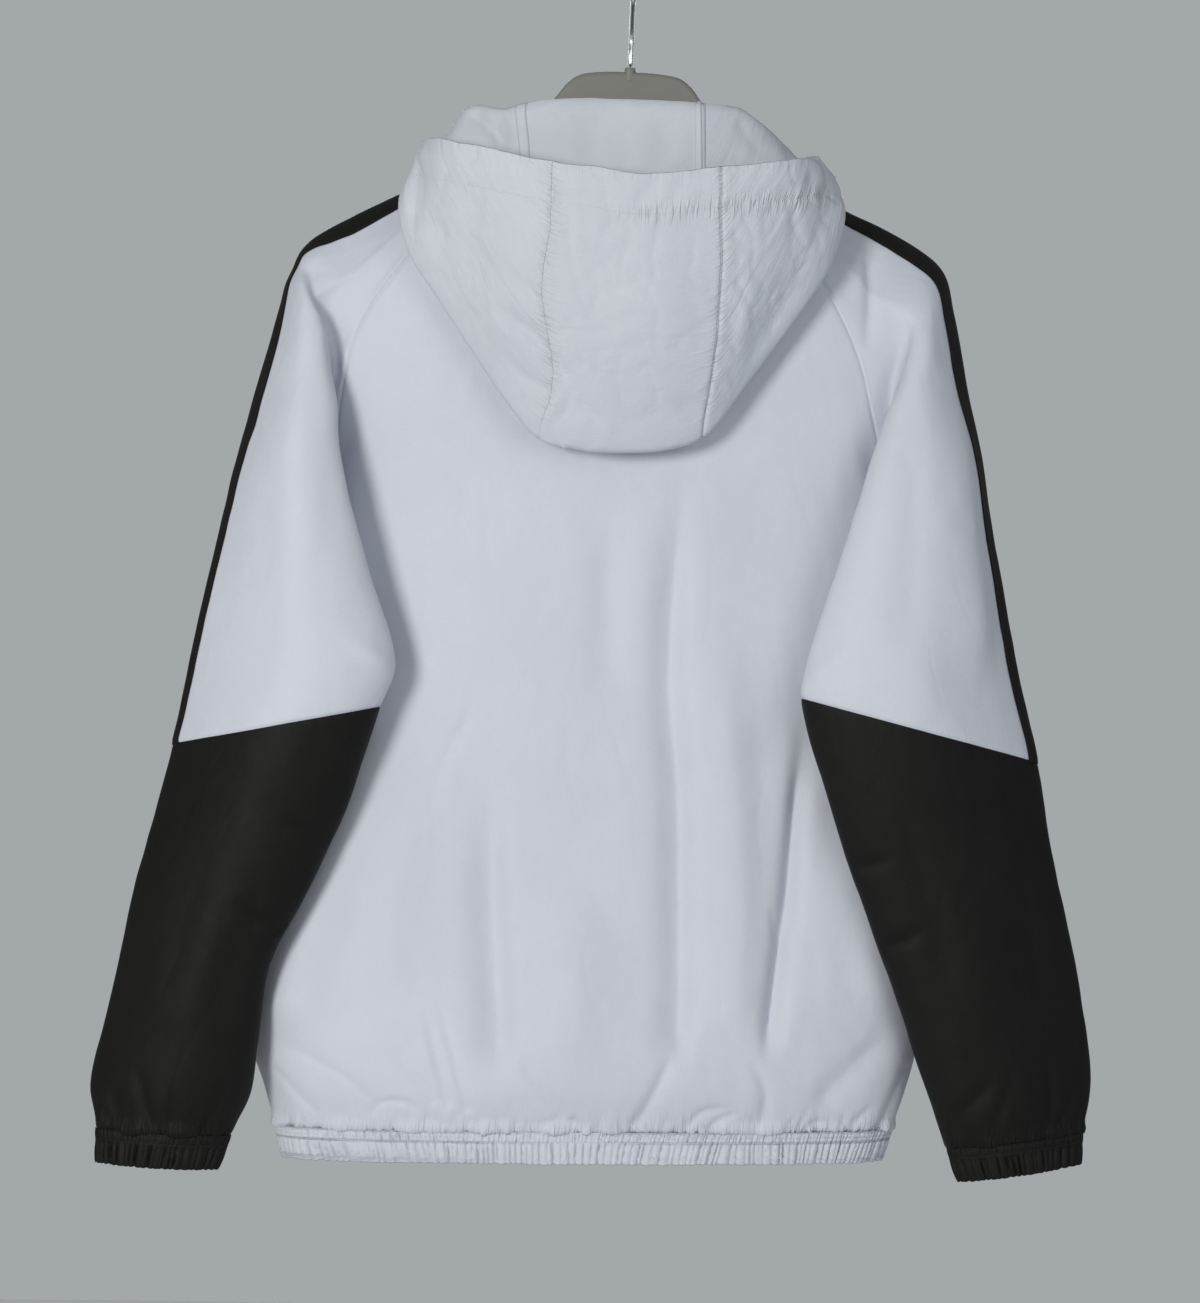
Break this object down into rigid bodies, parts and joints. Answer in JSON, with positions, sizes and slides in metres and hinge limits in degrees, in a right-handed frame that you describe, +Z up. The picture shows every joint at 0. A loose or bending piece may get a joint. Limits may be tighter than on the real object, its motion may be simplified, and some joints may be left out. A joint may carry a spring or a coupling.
{
  "type": "windbreaker jacket on hanger",
  "caption": "Hooded raglan windbreaker with gathered hem and cuffs, zipped up and hanging on a plastic hanger with a wire hook.",
  "frame": {"origin": "where a rail carries the hook, under the inside of the hook's top", "axes": "+Z up, X across the shoulders, +Y the zipped front and -Y the back"},
  "size_m": [0.705, 0.188, 0.8677],
  "materials": {
    "shell_cloth": "thin woven polyester with a faint sheen",
    "black_cloth": "thin woven polyester, black",
    "zip_coil": "moulded coil zip",
    "bright_metal": "polished",
    "hanger_plastic": "satin moulded plastic"
  },
  "bodies": {
    "jacket": {"back": "shell_cloth", "front_left": "shell_cloth", "front_right": "shell_cloth", "hem_band": "shell_cloth", "sleeve_upper_left": "shell_cloth", "sleeve_upper_right": "shell_cloth", "sleeve_lower_left": "black_cloth", "sleeve_lower_right": "black_cloth", "cuff_left": "black_cloth", "cuff_right": "black_cloth", "sleeve_tape_left": "black_cloth", "sleeve_tape_right": "black_cloth", "hood_side_left": "shell_cloth", "hood_center": "shell_cloth", "hood_side_right": "shell_cloth", "zip_chain": "zip_coil", "zip_slider": "bright_metal", "hanger": "hanger_plastic", "hook": "bright_metal"},
    "pull": {"zip_pull": "bright_metal"}
  },
  "joints": [
    {"name": "pull_hinge", "type": "hinge", "parent": "jacket", "child": "pull", "pos_m": [0, 0.07079, -0.16239], "axis": [1, 0, 0], "range_deg": [-12, 150]}
  ]
}
